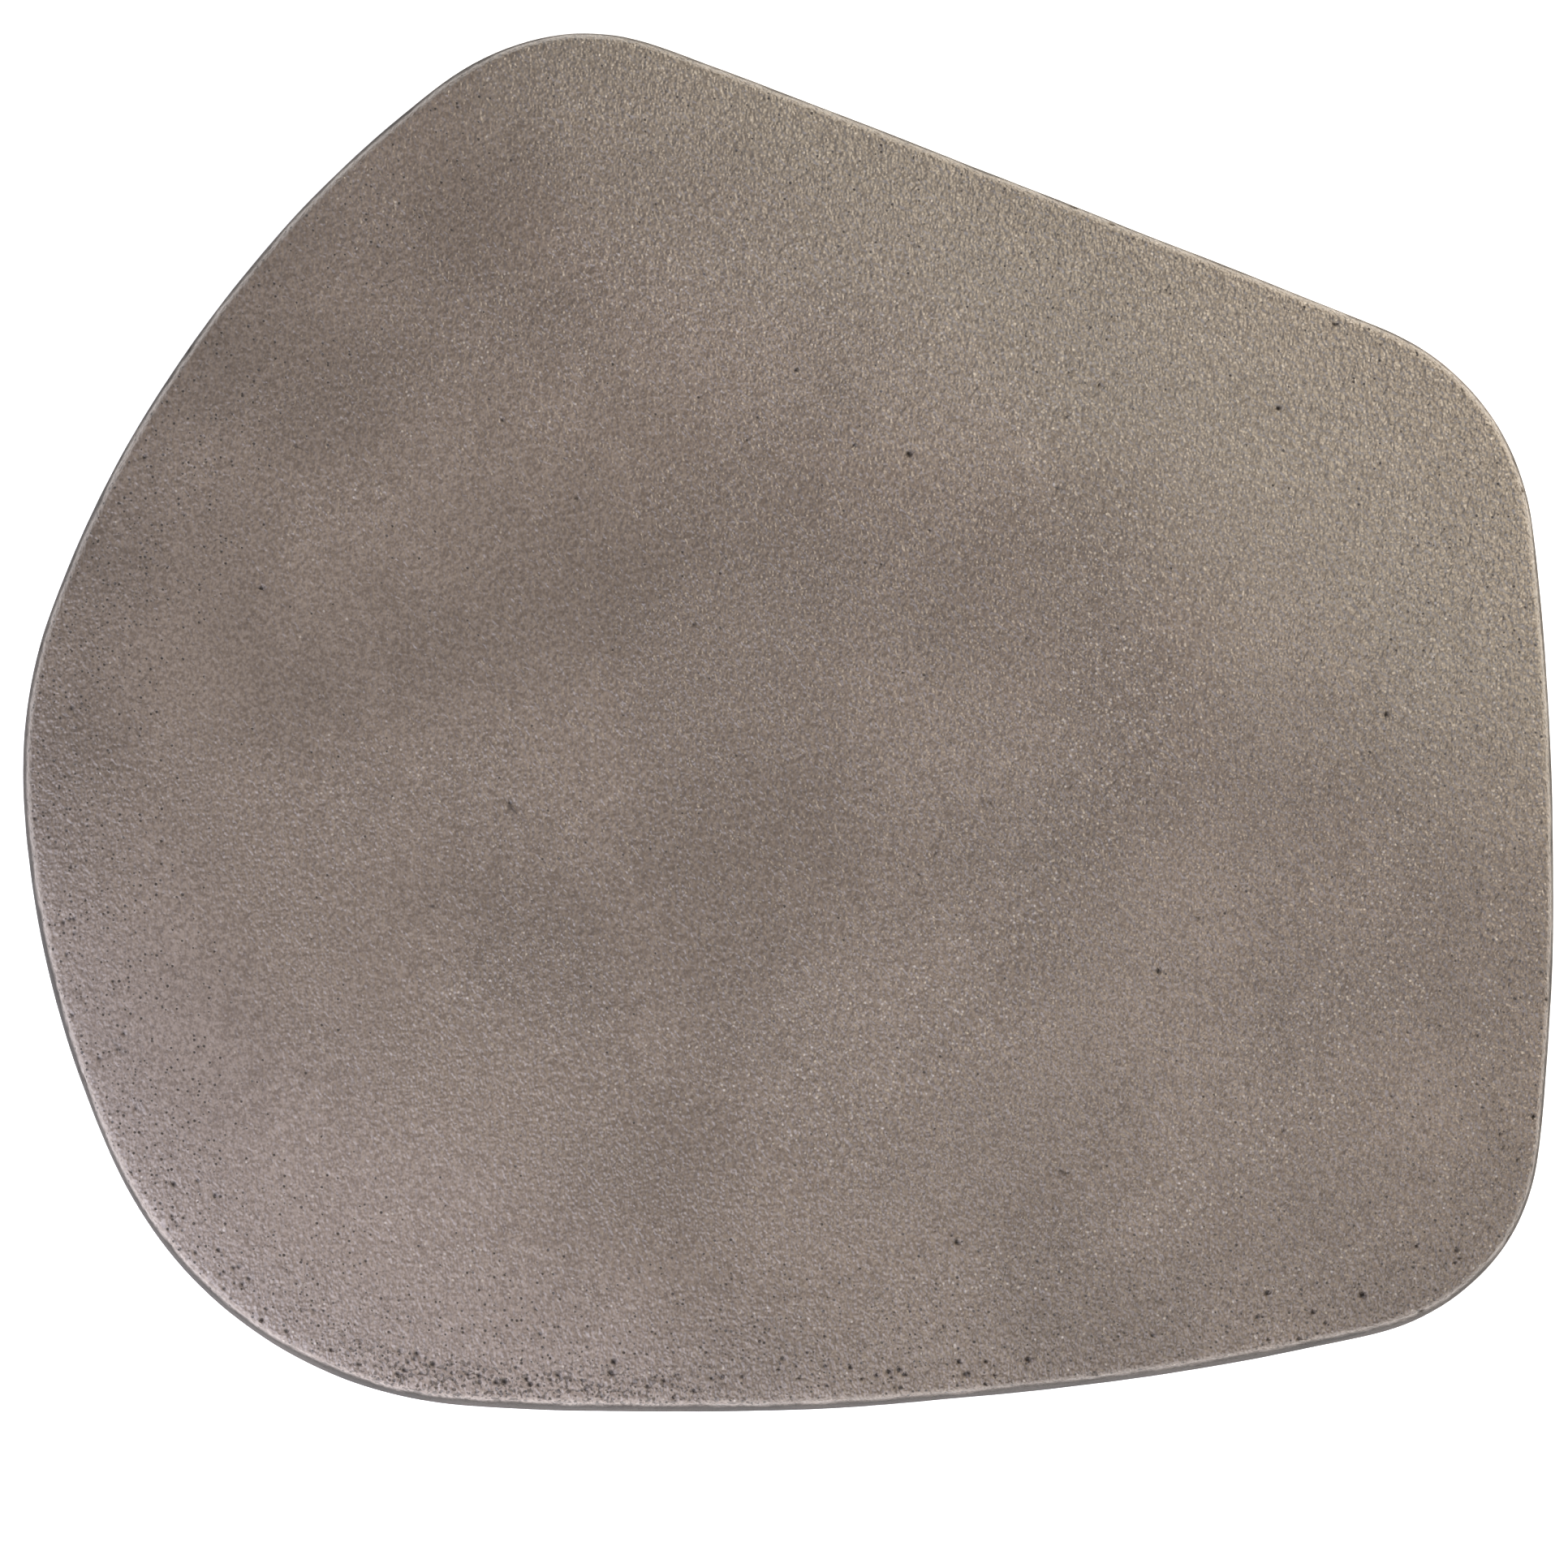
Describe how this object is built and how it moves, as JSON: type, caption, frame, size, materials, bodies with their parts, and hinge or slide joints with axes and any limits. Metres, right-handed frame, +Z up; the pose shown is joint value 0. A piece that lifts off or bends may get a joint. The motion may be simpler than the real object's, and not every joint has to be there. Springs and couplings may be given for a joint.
{
  "type": "basalt massage stone",
  "caption": "Flat rounded pebble of honed basalt with a slightly crowned face and a flat base, warmed and laid on the body in a hot stone massage.",
  "frame": {"origin": "middle of the stone's bounding box in plan, on the plane that its flat base rests on", "axes": "+Z up out of the crowned face, +X along the stone's length towards its straight blunt end, +Y across its width towards its highest corner"},
  "size_m": [0.1, 0.09, 0.018],
  "materials": {
    "basalt": "honed, lightly oiled, fine open pores"
  },
  "bodies": {
    "root": {"massage_stone": "basalt"}
  },
  "joints": []
}
